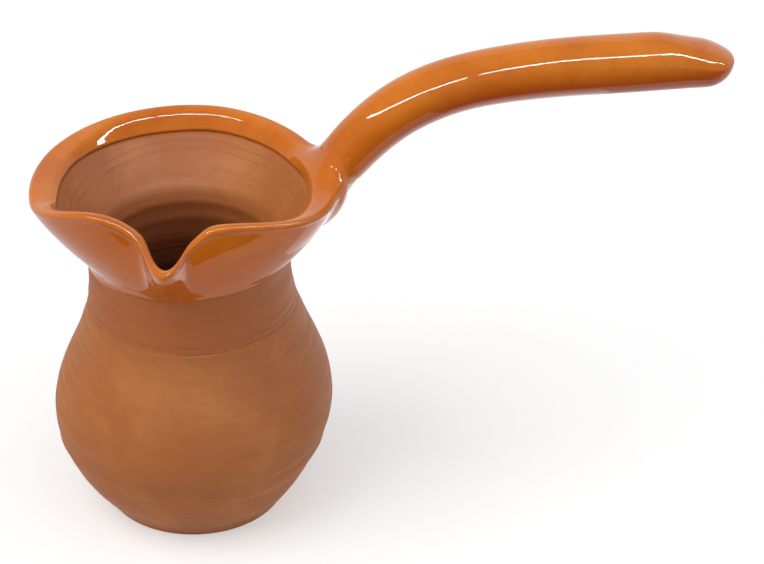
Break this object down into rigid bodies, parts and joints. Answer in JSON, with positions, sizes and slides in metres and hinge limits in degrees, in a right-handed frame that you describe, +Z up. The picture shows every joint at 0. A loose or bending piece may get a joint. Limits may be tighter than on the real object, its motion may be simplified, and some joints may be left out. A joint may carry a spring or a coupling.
{
  "type": "clay coffee pot",
  "caption": "Wheel-thrown clay coffee pot with a round belly, flared collar, pinched pouring spout and a long curved handle, glazed from the collar up.",
  "frame": {"origin": "middle of the flat foot, on the surface the pot stands on", "axes": "+Z up along the axis the pot was thrown on, +X from the axis towards the handle; the spout points to 112 degrees clockwise from the handle, seen from above"},
  "size_m": [0.2083, 0.0858, 0.1342],
  "materials": {
    "raw_clay": "unglazed, low-fired red earthenware, matt and slightly sandy, with fine throwing rings",
    "honey_glaze": "glossy transparent orange-brown glaze over red clay"
  },
  "bodies": {
    "root": {"thrown_pot": "raw_clay", "handle": "raw_clay", "luting_wad": "raw_clay", "rim_glaze": "honey_glaze", "handle_glaze": "honey_glaze"}
  },
  "joints": []
}
